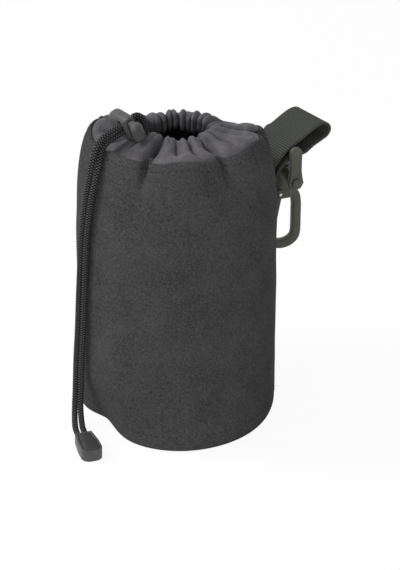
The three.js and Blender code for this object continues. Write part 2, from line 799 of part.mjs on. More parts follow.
function makeGatePin() {
  const half = gateWidth / 2 + runningGap + 1.4;
  const pin = rodX(gatePinDiameter, -half, half, 12);
  pin.translate(0, ...gatePinPlace);
  return closed(pin);
}

function makeHookGate() {
  const [y, z] = gatePinPlace;
  const root = rodX(gateRoot, -gateWidth / 2, gateWidth / 2, 16);
  root.translate(0, y, z);
  const tip = noseTop + 2 * seatGap;
  const outline = [
    [y - gateRoot / 2, z],
    [gateTipOffset - gateTip / 2, tip],
    [gateTipOffset + gateTip / 2, tip],
    [y + gateRoot / 2, z],
  ];
  const tongue = acrossX(new THREE.Shape(flat(outline)), gateWidth);
  const pinHole = rodX(gatePinDiameter + 2 * runningGap, -gateWidth, gateWidth, 12);
  pinHole.translate(0, y, z);
  return cutBy(joined(root, tongue), pinHole);
}

addMesh(hook, 'hook_bail', makeBail(), hookPlastic);
addMesh(hook, 'bail_pin_right', makePin(1), hookPlastic);
addMesh(hook, 'bail_pin_left', makePin(-1), hookPlastic);
addMesh(hook, 'hook_yoke', makeYoke(), hookPlastic);
addMesh(hook, 'hook_frame', makeHookFrame(), hookPlastic);
addMesh(hook, 'gate_pin', makeGatePin(), springSteel);
addMesh(hook, 'hook_gate', makeHookGate(), hookPlastic);

export default pouch;
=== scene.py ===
import math

import bmesh
import bpy
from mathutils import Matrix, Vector, noise


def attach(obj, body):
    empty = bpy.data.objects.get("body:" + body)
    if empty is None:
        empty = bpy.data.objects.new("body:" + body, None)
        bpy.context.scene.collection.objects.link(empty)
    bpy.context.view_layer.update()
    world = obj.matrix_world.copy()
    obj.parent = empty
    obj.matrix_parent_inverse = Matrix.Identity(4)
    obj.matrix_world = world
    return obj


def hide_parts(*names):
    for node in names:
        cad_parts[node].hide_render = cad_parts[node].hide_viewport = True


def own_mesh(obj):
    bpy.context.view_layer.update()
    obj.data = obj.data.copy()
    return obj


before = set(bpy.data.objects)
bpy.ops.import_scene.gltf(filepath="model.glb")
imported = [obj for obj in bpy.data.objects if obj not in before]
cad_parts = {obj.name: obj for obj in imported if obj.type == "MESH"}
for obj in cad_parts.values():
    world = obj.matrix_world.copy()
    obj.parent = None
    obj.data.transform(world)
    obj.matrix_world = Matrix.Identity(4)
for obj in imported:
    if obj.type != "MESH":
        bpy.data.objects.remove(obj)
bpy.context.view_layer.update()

mm = 0.001  # pieces are drawn in millimetres and scaled when they are finished
scene = bpy.context.scene
scene.view_settings.view_transform = "Standard"
print("frame loaded:", len(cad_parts), "nodes")


# camera

cameraValues = {
    "turn": 55.0,  # degrees from the front towards the right side
    "lift": 27.3,
    "distance": 1.15,
    "target": (0, 0, 0.078),
    "lens": 144.5,
    "shift": (0.0404, -0.0351),  # puts the pouch where the photograph has it
}


def addCamera(values):
    turn, lift = math.radians(values["turn"]), math.radians(values["lift"])
    back = Vector((math.sin(turn) * math.cos(lift), -math.cos(turn) * math.cos(lift), math.sin(lift)))
    lens = bpy.data.cameras.new("camera")
    lens.lens, lens.sensor_fit, lens.sensor_height = values["lens"], "VERTICAL", 36
    lens.shift_x, lens.shift_y = values["shift"]
    holder = bpy.data.objects.new("camera", lens)
    holder.location = Vector(values["target"]) + back * values["distance"]
    holder.rotation_euler = back.to_track_quat("Z", "Y").to_euler()
    scene.collection.objects.link(holder)
    scene.camera = holder


addCamera(cameraValues)
print("camera set")


# helpers for soft pieces

def ease(value, low, high):  # 0 below low, 1 above high, smooth between
    share = min(max((value - low) / (high - low), 0), 1)
    return share * share * (3 - 2 * share)


def bell(value, width):
    return math.exp(-(value / width) ** 2)


def turnGap(angle, other):  # degrees between two directions, -180 to 180
    return (angle - other + 180) % 360 - 180


def smoothLine(points, step, power=0.5):  # one smooth curve through the points, in even steps
    points = [Vector(p) for p in points]
    points = [2 * points[0] - points[1]] + points + [2 * points[-1] - points[-2]]
    fine = []
    for a, b, c, d in zip(points, points[1:], points[2:], points[3:]):
        t1 = max((b - a).length ** (2 * power), 1e-6)
        t2 = t1 + max((c - b).length ** (2 * power), 1e-6)
        t3 = t2 + max((d - c).length ** (2 * power), 1e-6)
        for i in range(24):
            t = t1 + (t2 - t1) * i / 24
            ab = a.lerp(b, t / t1)
            bc = b.lerp(c, (t - t1) / (t2 - t1))
            cd = c.lerp(d, (t - t2) / (t3 - t2))
            abc = ab.lerp(bc, t / t2)
            bcd = bc.lerp(cd, (t - t1) / (t3 - t1))
            fine.append(abc.lerp(bcd, (t - t1) / (t2 - t1)))
    fine.append(points[-2])
    length = sum((q - p).length for p, q in zip(fine, fine[1:]))
    count = max(2, round(length / step))
    line, walked, target = [fine[0]], 0.0, length / count
    for p, q in zip(fine, fine[1:]):
        piece = (q - p).length
        while walked + piece >= target - 1e-9 and len(line) < count:
            line.append(p.lerp(q, (target - walked) / piece if piece else 0))
            target += length / count
        walked += piece
    return line + [fine[-1]] if len(line) == count else line[:count] + [fine[-1]]


def carried(line):  # a sideways and an upward direction at each point, without twist
    frames = []
    side = None
    for i, point in enumerate(line):
        ahead = (line[min(i + 1, len(line) - 1)] - line[max(i - 1, 0)]).normalized()
        if side is None:
            side = ahead.cross(Vector((0.2, 0.3, 1))).normalized()
        side = (side - ahead * side.dot(ahead)).normalized()
        frames.append((point, side, ahead.cross(side)))
    return frames


def gridShape(cols, rows, place, weaveSize):  # a grid of cloth, moved to its place point by point
    bm = bmesh.new()
    weave = bm.loops.layers.uv.new("weave")
    bmesh.ops.create_grid(bm, x_segments=cols, y_segments=rows, size=1)
    for face in bm.faces:
        face.smooth = True
        for loop in face.loops:
            x, y, _ = loop.vert.co
            loop[weave].uv = ((x + 1) / 2 * weaveSize[0], (y + 1) / 2 * weaveSize[1])
    for vert in bm.verts:
        vert.co = place((vert.co.x + 1) / 2, (vert.co.y + 1) / 2)
    bmesh.ops.remove_doubles(bm, verts=bm.verts, dist=0.0005)
    rims = [edge for edge in bm.edges if edge.is_boundary]
    return bm, rims


def finishPiece(name, bm, body, slotName, material, nodes=(), sharp=None):
    bmesh.ops.scale(bm, vec=(mm, mm, mm), verts=bm.verts)
    mesh = bpy.data.meshes.new(name)
    bm.to_mesh(mesh)
    bm.free()
    mesh.shade_smooth()
    if sharp:
        mesh.set_sharp_from_angle(angle=math.radians(sharp))
    mesh.materials.append(material)
    piece = bpy.data.objects.new(name, mesh)
    scene.collection.objects.link(piece)
    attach(piece, body)
    if nodes:
        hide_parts(*nodes)
    return piece


# materials

def startMaterial(name, roughness, **sockets):  # also gives the coordinates that the pattern is laid out in
    material = bpy.data.materials.new(name)
    material.use_nodes = True
    tree = material.node_tree
    shader = tree.nodes["Principled BSDF"]
    shader.inputs["Roughness"].default_value = roughness
    for socket, value in sockets.items():
        shader.inputs[socket.replace("_", " ")].default_value = value
    return material, tree, shader, addNode(tree, "ShaderNodeTexCoord").outputs["Object"]


def addNode(tree, kind, inputs=None, **settings):
    node = tree.nodes.new(kind)
    for key, value in settings.items():
        setattr(node, key, value)
    for key, value in (inputs or {}).items():
        if hasattr(value, "is_output"):
            tree.links.new(value, node.inputs[key])
        else:
            node.inputs[key].default_value = value
    return node


def noiseAt(tree, coords, scale, detail=2.0, roughness=0.5):
    inputs = {"Vector": coords, "Scale": scale, "Detail": detail, "Roughness": roughness}
    return addNode(tree, "ShaderNodeTexNoise", inputs).outputs["Fac"]


def math2(tree, operation, a, b):
    return addNode(tree, "ShaderNodeMath", {0: a, 1: b}, operation=operation).outputs[0]


def mixOf(tree, first, share, second):  # a share of the first, and the rest of the second
    parts = (math2(tree, "MULTIPLY", first, share), math2(tree, "MULTIPLY", second, 1 - share))
    return math2(tree, "ADD", *parts)


def tint(tree, shader, factor, dark, light, low=0.3, high=0.7):
    ramp = addNode(tree, "ShaderNodeValToRGB", {"Fac": factor})
    for stop, place, tone in zip(ramp.color_ramp.elements, (low, high), (dark, light)):
        stop.position, stop.color = place, (*tone, 1)
    tree.links.new(ramp.outputs["Color"], shader.inputs["Base Color"])


def bumpFrom(tree, shader, height, distance, strength=1.0):
    bump = addNode(tree, "ShaderNodeBump", {"Height": height, "Distance": distance, "Strength": strength})
    tree.links.new(bump.outputs["Normal"], shader.inputs["Normal"])


neopreneFinish = {
    "dark": (0.025, 0.025, 0.026),
    "light": (0.092, 0.092, 0.093),
    "speckScale": 950,
    "speckShare": 0.72,
    "patchScale": 60,
    "knitDepth": 0.00025,
}


def makeNeoprene(values):
    material, tree, shader, coords = startMaterial("neoprene_knit", 0.92, Specular_IOR_Level=0.08)
    speck = noiseAt(tree, coords, values["speckScale"], 3, 0.65)
    patch = noiseAt(tree, coords, values["patchScale"], 3, 0.6)
    tint(tree, shader, mixOf(tree, speck, values["speckShare"], patch), values["dark"], values["light"])
    bumpFrom(tree, shader, speck, values["knitDepth"], 0.8)
    return material


nylonFinish = {
    "dark": (0.066, 0.063, 0.068),
    "light": (0.125, 0.120, 0.128),
    "patchScale": 120,
    "threadScale": 2600,  # threads to the metre
    "threadShare": 0.06,
    "crinkleScale": 170,
    "crinkleDepth": 0.0012,
}


def makeNylon(values):
    material, tree, shader, coords = startMaterial("thin_nylon", 0.5, Specular_IOR_Level=0.2)
    weave = addNode(tree, "ShaderNodeUVMap", uv_map="weave").outputs["UV"]
    patch = noiseAt(tree, coords, values["patchScale"], 4, 0.6)
    tint(tree, shader, patch, values["dark"], values["light"])
    wave = {"Vector": weave, "Scale": values["threadScale"] / 6.28}
    warp, weft = (addNode(tree, "ShaderNodeTexWave", wave, bands_direction=way).outputs for way in "XY")
    threads = math2(tree, "MULTIPLY", math2(tree, "ADD", warp["Fac"], weft["Fac"]), values["threadShare"])
    crinkle = noiseAt(tree, coords, values["crinkleScale"], 4, 0.55)
    bumpFrom(tree, shader, math2(tree, "ADD", threads, crinkle), values["crinkleDepth"], 0.6)
    rough = addNode(tree, "ShaderNodeMapRange", {"Value": crinkle, "To Min": 0.42, "To Max": 0.62})
    tree.links.new(rough.outputs["Result"], shader.inputs["Roughness"])
    return material


tapeFinish = {
    "dark": (0.02, 0.02, 0.021),
    "light": (0.042, 0.042, 0.043),
    "fleckScale": 1500,
    "depth": 0.0002,
}


def makeTape(values):
    material, tree, shader, coords = startMaterial("woven_tape", 0.85, Specular_IOR_Level=0.1)
    fleck = noiseAt(tree, coords, values["fleckScale"], 2)
    tint(tree, shader, fleck, values["dark"], values["light"])
    bumpFrom(tree, shader, fleck, values["depth"])
    return material


braidFinish = {
    # the gap tone, near black, is painted shade between the yarns; the yarn tone is the cord's own grey
    "gap": (0.004, 0.004, 0.0045),
    "yarn": (0.13, 0.13, 0.133),
    "yarnShadeShare": 0.85,
    "fibreScale": 6000,
}


def makeBraid(values):
    material, tree, shader, coords = startMaterial("braided_cord", 0.7, Specular_IOR_Level=0.05)
    height = addNode(tree, "ShaderNodeAttribute", attribute_name="yarnHeight").outputs["Fac"]
    fibre = noiseAt(tree, coords, values["fibreScale"], 1)
    # yarn crowns take the yarn tone and the low places between the yarns are darkened to the gap tone:
    # painted shade
    mixed = mixOf(tree, height, values["yarnShadeShare"], fibre)
    tint(tree, shader, mixed, values["gap"], values["yarn"], 0.3, 0.9)
    bumpFrom(tree, shader, fibre, 0.0001, 0.5)
    return material


webbingFinish = {
    # the valley tone is painted shade between the ribs; the rib tone is the webbing's own colour
    "valley": (0.034, 0.036, 0.033),
    "rib": (0.092, 0.096, 0.089),
    "ribShadeShare": 0.75,
    "fibreScale": 2600,
}


def makeWebbing(values):
    material, tree, shader, coords = startMaterial("ribbed_webbing", 0.75, Specular_IOR_Level=0.1)
    height = addNode(tree, "ShaderNodeAttribute", attribute_name="ribHeight").outputs["Fac"]
    fibre = noiseAt(tree, coords, values["fibreScale"], 2)
    # the low places between the ribs are darkened to the valley tone: painted shade
    mixed = mixOf(tree, height, values["ribShadeShare"], fibre)
    tint(tree, shader, mixed, values["valley"], values["rib"], 0.15, 0.9)
    bumpFrom(tree, shader, fibre, 0.00015, 0.6)
    return material


threadFinish = {"dark": (0.012, 0.012, 0.013), "light": (0.035, 0.035, 0.036), "fleckScale": 3000}


def makeThread(values):
    material, tree, shader, coords = startMaterial("sewing_thread", 0.7, Specular_IOR_Level=0.1)
    tint(tree, shader, noiseAt(tree, coords, values["fleckScale"], 1), values["dark"], values["light"])
    return material


plasticFinish = {
    "black_plastic_fine_grain": ((0.066, 0.066, 0.067), (0.096, 0.095, 0.097)),  # darkest and lightest tone
    "black_plastic_cover": ((0.045, 0.045, 0.046), (0.066, 0.065, 0.067)),
    "hook_plastic_olive": ((0.068, 0.070, 0.058), (0.102, 0.104, 0.086)),
    "grainScale": 2400,
    "grainDepth": 0.00006,
    "patchScale": 160,
}


def makePlastic(name, values):
    material, tree, shader, coords = startMaterial(name, 0.45, Specular_IOR_Level=0.3)
    grain = noiseAt(tree, coords, values["grainScale"], 2)
    patch = noiseAt(tree, coords, values["patchScale"], 3)
    tint(tree, shader, patch, *values[name])
    rough = addNode(tree, "ShaderNodeMapRange", {"Value": patch, "To Min": 0.38, "To Max": 0.55})
    tree.links.new(rough.outputs["Result"], shader.inputs["Roughness"])
    bumpFrom(tree, shader, grain, values["grainDepth"], 0.6)
    return material


steelFinish = {"dark": (0.42, 0.42, 0.42), "light": (0.58, 0.58, 0.58), "drawnScale": 2200}


def makeSteel(values):
    material, tree, shader, coords = startMaterial("steel_wire", 0.3, Metallic=1.0)
    tint(tree, shader, noiseAt(tree, coords, values["drawnScale"], 2), values["dark"], values["light"])
    return material


neoprene = makeNeoprene(neopreneFinish)
nylon = makeNylon(nylonFinish)
tape = makeTape(tapeFinish)
braid = makeBraid(braidFinish)
webbing = makeWebbing(webbingFinish)
thread = makeThread(threadFinish)
blackPlastic = makePlastic("black_plastic_fine_grain", plasticFinish)
coverPlastic = makePlastic("black_plastic_cover", plasticFinish)
hookPlastic = makePlastic("hook_plastic_olive", plasticFinish)
steel = makeSteel(steelFinish)
print("materials made")


# drawcord: two free cords down the front, and the hoop through the hem

cordValues = {
    "diameter": 3.0,
    "crown": 1.58,  # radius over the yarns
    "around": 32,
    "step": 0.2,
    "yarns": 4,  # yarns that wind each way
    "pick": 1.4,  # from one crossing of the yarns to the next, along the cord
    "relief": 0.2,  # depth between the yarns
}

cordApart = 1.9  # half the distance between the two cords in the lock and in the cord end
lockPitch = math.radians(22)
lockPlace = Vector((0, -29.2, 162))


def lockPoint(along, side):  # on the line of one cord through the lock
    across = side * cordApart
    return lockPlace + Vector((0, along * math.cos(lockPitch) - across * math.sin(lockPitch),
                               along * math.sin(lockPitch) + across * math.cos(lockPitch)))


cordEndPlace, cordEndTurn = Vector((8, -63, 2.8)), math.radians(-16.7)


def socketPoint(along, side):  # on the line of one socket of the cord end
    across = side * cordApart
    return cordEndPlace + Vector((along * math.cos(cordEndTurn) - across * math.sin(cordEndTurn),
                                  along * math.sin(cordEndTurn) + across * math.cos(cordEndTurn), 0))


leftHang = [
    (0.63, -47.63, 154.22), (0.89, -49.59, 149.33), (0.46, -50.82, 143.82), (-0.31, -51.45, 138.47),
    (-1.11, -51.93, 132.96), (-1.84, -52.32, 127.75), (-3.04, -52.77, 119.95), (-4.24, -53.07, 112),
    (-5.52, -53.33, 100.98), (-6.59, -53.43, 89.96), (-8.07, -53.51, 74.05), (-9.66, -53.61, 54.01),
    (-11.46, -53.81, 35.04), (-11.85, -54.25, 21.57), (-11.56, -54.82, 14.7), (-10.1, -56.2, 8.5),
    (-6.6, -58.55, 4.2), (-1.8, -61.27, 2.9), (3, -63.3, 2.8),
]
rightHang = [
    (1.17, -45.57, 151.62), (2.51, -47.21, 147.49), (2.94, -48.78, 142.75), (2.71, -50.05, 138.01),
    (2.11, -50.97, 132.96), (1.44, -51.58, 127.75), (0.24, -52.03, 119.95), (-0.96, -52.33, 112),
    (-2.28, -52.47, 100.98), (-3.41, -52.37, 89.96), (-4.93, -52.29, 74.05), (-6.54, -52.39, 54.01),
    (-8.34, -52.59, 35.04), (-8.75, -52.95, 21.57), (-8.44, -53.58, 14.7), (-7.1, -54.6, 8.5),
    (-4.2, -56.05, 4.2), (-0.2, -58.03, 2.9), (4, -59.7, 2.8),
]
upperLead = [(0.1, -24.2, 165.9), (0.5, -22.2, 165.2), (1, -20.5, 162.6), (1.3, -19.8, 159.2),
             (1.6, -19.7, 155.6), (2.6, -19.6, 152.6)]
lowerLead = [(-1.3, -22, 162.3), (-2.4, -20.2, 161), (-3.2, -19.2, 158.6), (-3.6, -19.2, 155.4),
             (-4.6, -19.2, 152.4)]


def yarnHeight(turn, along, values):  # 1 on the crown of a yarn, 0 in the gaps
    a = values["yarns"] * turn / (2 * math.pi) + along / values["pick"]
    b = values["yarns"] * turn / (2 * math.pi) - along / values["pick"]
    return abs(math.sin(math.pi * a) * math.sin(math.pi * b)) ** 0.8


def makeCord(name, points, nodes, values):
    line = smoothLine(points, values["step"])
    frames = carried(line)
    radius, cols, rows = values["crown"], len(line) - 1, values["around"]

    def place(u, v):
        i, turn = round(u * cols), 2 * math.pi * (round(v * rows) % rows) / rows
        point, side, up = frames[i]
        depth = values["relief"] * (1 - yarnHeight(turn, i * values["step"], values))
        return point + (side * math.cos(turn) + up * math.sin(turn)) * (radius - depth)

    bm, rims = gridShape(cols, rows, place, (cols * values["step"], 2 * math.pi))
    weave = bm.loops.layers.uv["weave"]
    layer = bm.verts.layers.float.new("yarnHeight")
    for vert in bm.verts:
        along, turn = vert.link_loops[0][weave].uv
        vert[layer] = yarnHeight(turn, along, values)
    bmesh.ops.holes_fill(bm, edges=rims, sides=0)
    bmesh.ops.recalc_face_normals(bm, faces=bm.faces)
    return finishPiece(name, bm, "pouch", "cord", braid, nodes), line


def lineLength(line):
    return sum((q - p).length for p, q in zip(line, line[1:])) * mm


freeCords = []
for name, side, hang in (("drawcord_left", 1, leftHang), ("drawcord_right", -1, rightHang)):
    route = [lockPoint(-3.4, side), lockPoint(-15, side), *hang]
    route += [socketPoint(0, -side), socketPoint(6.7, -side)]
    piece, line = makeCord(name, route, ["drawcord_free_" + name.split("_")[1]], cordValues)
    freeCords.append((piece, line))
    print(name, "length", round(lineLength(line), 4))


def hemDrop(angle):  # the hem lies lower at the back and on the left
    return 2.4 * ease(math.cos(math.radians(angle - 130)), 0.1, 0.8) + 1.0 * bell(turnGap(angle, 200), 40)


hoopValues = {"gap": 22, "radius": 20.4, "height": 150.2, "steps": 24}  # the gap is left open for the leads
ring = []
for i in range(hoopValues["steps"] + 1):
    angle = hoopValues["gap"] - 90 + (360 - 2 * hoopValues["gap"]) * i / hoopValues["steps"]
    turn, out = math.radians(angle), hoopValues["radius"]
    ring.append((out * math.cos(turn), out * math.sin(turn), hoopValues["height"] - hemDrop(angle)))
hoopRoute = [*(lockPoint(along, 1) for along in (-3.3, 0, 3.5)), *upperLead, *ring, *reversed(lowerLead),
             *(lockPoint(along, -1) for along in (3.5, 0, -3.3))]
makeCord("drawcord_hoop_braided", hoopRoute, ["drawcord_hoop"], cordValues)
print("cords made")


# padded wall

wallValues = {
    "radius": 50.0,
    "thickness": 4.5,
    "shoulder": 100.0,  # where the wall starts to curve inwards
    "seam": 153.0,
    "seamEdge": 1.4,  # thickness that the wall is pressed to at the seam
    "inset": 8.0,
    "puckers": (-57, -2, 53, 108, 163, 218),  # degrees from the right side
    "cols": 500,
    "stitchDrop": 3.5,  # from the seam down to the row of stitches
    "flattest": 2,  # least round of the foot
}

# where the wall is drawn in or swells at its foot: depth, direction, spread, and the heights it fades over
footForms = ((4.9, -90.5, 20, 4, 29), (-2.0, -15, 40, 8, 50), (-1.1, -38, 24, 6, 40))
footRounds = ((6.2, -90.5, 19), (3.5, 67, 33))  # how much rounder the foot is, where, and over what spread
puckerForm = {"broad": (2.2, 10), "sharp": (5.6, 2.4), "swell": (0.3, 9), "beside": 13}  # depths and spreads
sinkForm = {"depth": 9, "at": 137, "edge": (0.14, 0.74), "heights": (118, 152), "inwards": 0.45}


def footRound(angle):  # the foot is rounder at the front and at the back right
    more = sum(extra * bell(turnGap(angle, at), spread) for extra, at, spread in footRounds)
    return wallValues["flattest"] + more


def insideFoot(angle):  # height of the foot's round on the inside
    return max(footRound(angle), 6)


def baseReach(angle):  # where the wall ends under the foot and the base begins
    return wallValues["radius"] - insideFoot(angle) + 1.2


def pouchDent(angle, height):  # how far the wall is pulled in, towards the middle
    top, nearSeam = ease(height, 114, 151), ease(height, 136, 152)
    dent = sum(depth * bell(turnGap(angle, at), spread) * (1 - ease(height, low, high))
               for depth, at, spread, low, high in footForms)
    (broad, broadSpread), (sharp, sharpSpread), (swell, swellSpread), beside = puckerForm.values()
    for pucker in wallValues["puckers"]:
        gap = turnGap(angle, pucker)
        dent += broad * top * bell(gap, broadSpread) + sharp * nearSeam * bell(gap, sharpSpread)
        dent -= swell * top * (bell(gap - beside, swellSpread) + bell(gap + beside, swellSpread))
    dent += 0.5 * bell(turnGap(angle, -41), 2.2) * ease(height, 126, 134) * (1 - ease(height, 143, 149))
    return dent


def topSink(angle, height):  # one side of the top has sunk in
    across = ease(math.cos(math.radians(angle - sinkForm["at"])), *sinkForm["edge"])
    return sinkForm["depth"] * across * ease(height, *sinkForm["heights"])


def seamLift(angle, height):  # the seam rises between the puckers, and gives way under the cords
    rise = 1.3 * math.cos(math.radians(6.545 * turnGap(angle, -29.5)))
    return ease(height, 138, 152) * (rise - 2.0 * bell(turnGap(angle, -88.5), 9))


def unevenness(angle, height):
    turn = math.radians(angle)
    spot = Vector((math.cos(turn) * 1.3, math.sin(turn) * 1.3, height / 40))
    return 0.45 * noise.noise(spot * 1.1) + 0.2 * noise.noise(spot * 3.1)


def wallProfile(angle, values):  # outside from the foot up, over the top edge, and down the inside
    r, t, seam, shoulder = values["radius"], values["thickness"], values["seam"], values["shoulder"]
    foot, inFoot, inset, inner = footRound(angle), insideFoot(angle), values["inset"], r - t
    middle, edge = r - foot, r - inset
    joint = baseReach(angle) + 0.1
    flatEnd = max(middle, joint + 0.6)
    start = math.asin((flatEnd - middle) / foot)
    spots = []
    for i in range(6):
        out = joint + (flatEnd - joint) * i / 6
        spots.append((out, foot - math.sqrt(foot * foot - max(out - middle, 0) ** 2)))
    for i in range(15):
        turn = start + (math.pi / 2 - start) * i / 14
        spots.append((middle + foot * math.sin(turn), foot - foot * math.cos(turn)))
    spots += [(r, foot + (shoulder - foot) * i / 56) for i in range(1, 57)]
    for i in range(1, 45):
        turn = math.pi / 2 * i / 44
        spots.append((edge + inset * math.cos(turn), shoulder + (seam - shoulder) * math.sin(turn)))
    inside = seam - values["seamEdge"]
    spots += [(edge - 0.3, seam - 0.2), (edge - 0.4, seam - 0.7), (edge - 0.2, inside)]
    for i in range(1, 15):
        turn = math.pi / 2 * (1 - i / 14)
        spots.append((edge + (inset - t) * math.cos(turn), shoulder + (inside - shoulder) * math.sin(turn)))
    spots += [(inner, shoulder + (inFoot - shoulder) * i / 24) for i in range(1, 25)]
    bend = inFoot - t
    finish = math.asin((joint - r + inFoot) / bend)
    for i in range(1, 9):
        turn = math.pi / 2 + (finish - math.pi / 2) * i / 8
        spots.append((r - inFoot + bend * math.sin(turn), inFoot - bend * math.cos(turn)))
    return spots + [spots[0]]


def wallPoint(angle, r, z):
    stitch = 0.3 * bell(z - (wallValues["seam"] - wallValues["stitchDrop"]), 0.8) if r > 40 else 0
    sink = topSink(angle, z)
    pull = pouchDent(angle, z) - unevenness(angle, z) * ease(z, 0, 12) + stitch + sinkForm["inwards"] * sink
    out, turn = r - pull, math.radians(angle)
    return Vector((out * math.cos(turn), out * math.sin(turn), z + seamLift(angle, z) - sink))


def makeWall(values):
    cols = values["cols"]
    profiles = [wallProfile(360 * i / cols, values) for i in range(cols)]
    rows = len(profiles[0]) - 1

    def place(u, v):
        i = round(u * cols) % cols
        return wallPoint(360 * i / cols, *profiles[i][round(v * rows)])

    bm, _ = gridShape(cols, rows, place, (0.314, 0.34))
    bmesh.ops.recalc_face_normals(bm, faces=bm.faces)
    return finishPiece("pouch_wall", bm, "pouch", "padded_cloth", neoprene, ["body_wall"])


pouchWall = makeWall(wallValues)
print("wall made")


# padded base, with the tapes that cover the seams inside

baseValues = {"radius": 45.2, "thickness": 4.5, "crown": 0.5, "hollow": 0.3}


def spunShape(profile, steps, close=False):  # a profile in the XZ plane, spun round Z
    bm = bmesh.new()
    verts = [bm.verts.new((r, 0, z)) for r, z in profile]
    edges = [bm.edges.new(pair) for pair in zip(verts, verts[1:])]
    if close:
        edges.append(bm.edges.new((verts[-1], verts[0])))
    bmesh.ops.spin(bm, geom=verts + edges, axis=(0, 0, 1), cent=(0, 0, 0), angle=2 * math.pi, steps=steps,
                   use_merge=True)
    bmesh.ops.remove_doubles(bm, verts=bm.verts, dist=0.001)
    bmesh.ops.recalc_face_normals(bm, faces=bm.faces)
    return bm


def makeBase(values):
    r, t, crown, hollow = (values[key] for key in ("radius", "thickness", "crown", "hollow"))
    profile = [(r * i / 10, hollow * (1 - (i / 10) ** 2)) for i in range(10)]
    profile += [(r - 1.2, 0), (r - 0.3, 0.5), (r, 1.4), (r, t - 1.2), (r - 0.5, t - 0.3), (r - 1.4, t)]
    profile += [(r * i / 10, t + crown * (1 - (i / 10) ** 2) - 0.1) for i in range(9, -1, -1)]
    bm = spunShape(profile, 96)
    for vert in bm.verts:  # meets the wall under the foot
        angle = math.degrees(math.atan2(vert.co.y, vert.co.x))
        share = (baseReach(angle) - pouchDent(angle, 0)) / r
        vert.co.x, vert.co.y = vert.co.x * share, vert.co.y * share
    return finishPiece("pouch_base", bm, "pouch", "padded_cloth", neoprene, ["base_disc"])


pouchBase = makeBase(baseValues)

bindingValues = {"width": 5.5, "thickness": 0.8, "clear": 0.65, "cols": 160}


def makeBinding(values):
    def path(angle):  # from the base's top, round the inside of the foot and up the wall
        foot, reach = insideFoot(angle), baseReach(angle)
        middle, bend = wallValues["radius"] - foot, foot - wallValues["thickness"] - values["clear"]
        spots = [(reach - values["width"], 5.1), (reach - values["width"] / 2, 5.1), (middle, foot - bend)]
        for turn in (22, 45, 67, 90):
            away = math.radians(turn)
            spots.append((middle + bend * math.sin(away), foot - bend * math.cos(away)))
        return spots + [(middle + bend, foot + values["width"] / 2), (middle + bend, foot + values["width"])]

    paths = [path(360 * i / values["cols"]) for i in range(values["cols"])]
    rows = len(paths[0]) - 1

    def place(u, v):
        i = round(u * values["cols"]) % values["cols"]
        r, z = paths[i][round(v * rows)]
        angle = 360 * i / values["cols"]
        out, turn = r - pouchDent(angle, z), math.radians(angle)
        return Vector((out * math.cos(turn), out * math.sin(turn), z))

    bm, _ = gridShape(values["cols"], rows, place, (0.27, 0.016))
    bmesh.ops.recalc_face_normals(bm, faces=bm.faces)
    binding = finishPiece("base_binding_tape", bm, "pouch", "binding_tape", tape, ["base_binding"])
    wall = binding.modifiers.new("tape thickness", "SOLIDIFY")
    wall.thickness, wall.offset = values["thickness"] * mm, 0
    return binding


makeBinding(bindingValues)

seamTapeValues = {"width": 17.0, "bottom": 13.2, "top": 99.8, "inside": 44.15, "thickness": 0.7}


def makeSeamTape(values):
    spread = math.degrees(values["width"] / values["inside"])

    def place(u, v):
        turn = math.radians(90 - spread / 2 + spread * u)
        z = values["bottom"] + (values["top"] - values["bottom"]) * v
        out = values["inside"] + values["thickness"] / 2 + 0.05 * math.cos(u * 40) - pouchDent(90, z)
        return Vector((out * math.cos(turn), out * math.sin(turn), z))

    bm, _ = gridShape(24, 60, place, (values["width"] * mm, (values["top"] - values["bottom"]) * mm))
    bmesh.ops.recalc_face_normals(bm, faces=bm.faces)
    bmesh.ops.solidify(bm, geom=bm.faces, thickness=values["thickness"] * 0.8)
    return finishPiece("back_seam_tape_woven", bm, "pouch", "binding_tape", tape, ["back_seam_tape"],
                       sharp=50)


makeSeamTape(seamTapeValues)
print("base and tapes made")


# collar: a thin skirt gathered on to the cord, with the cord tunnel rolled in its hem

collarValues = {
    "line": [(43.0, 142.5), (42.6, 146.5), (42.0, 150.0), (41.2, 152.4), (39.6, 153.8), (36.5, 154.6),
             (32, 154.6), (27.5, 154.8), (23, 155.5), (19.7, 156), (17.3, 154.7), (16.6, 151.7),
             (17.1, 148.1), (20.2, 146.1), (23.8, 147.1), (26.8, 150.2)],
    "seamSpot": 3,  # number of the line's point at the seam
    "rimSpot": 9,  # and at the top of the hem
    "cols": 640,
    "step": 0.7,
    "valleys": (-57, -34, -19, -2, 16, 32, 53, 80, 108, 128, 146, 163, 190, 218, 240, 262, 283),
    "foldDepth": 4.6,
    "puckerDepth": 3.4,
    "puckerSpread": 3.2,
    "hemFolds": 33,
    "hemDepth": 1.2,
    "wallReach": 20,  # how far in from the seam the wall's own shape still shows
    "thickness": 0.3,
}


def foldCrown(angle, valleys):  # 0 in a valley and about 1 on a fold between two, each of its own height
    for k, (low, high) in enumerate(zip(valleys, valleys[1:] + (valleys[0] + 360,))):
        share = (angle - low) % 360 / (high - low)
        if share < 1:
            return (0.55 + 0.45 * abs(math.sin(k * 2.4 + 0.9))) * math.sin(math.pi * share) ** 0.75
    return 0.0


def underLock(x, y, z):  # height that leaves room for the sliding cord lock
    limit = 154.3 + 0.404 * (y + 29.8)
    near = (1 - ease(abs(x), 12, 20)) * ease(y, -42, -38) * (1 - ease(y, -24, -20))
    return z - max(0, z - limit) * near


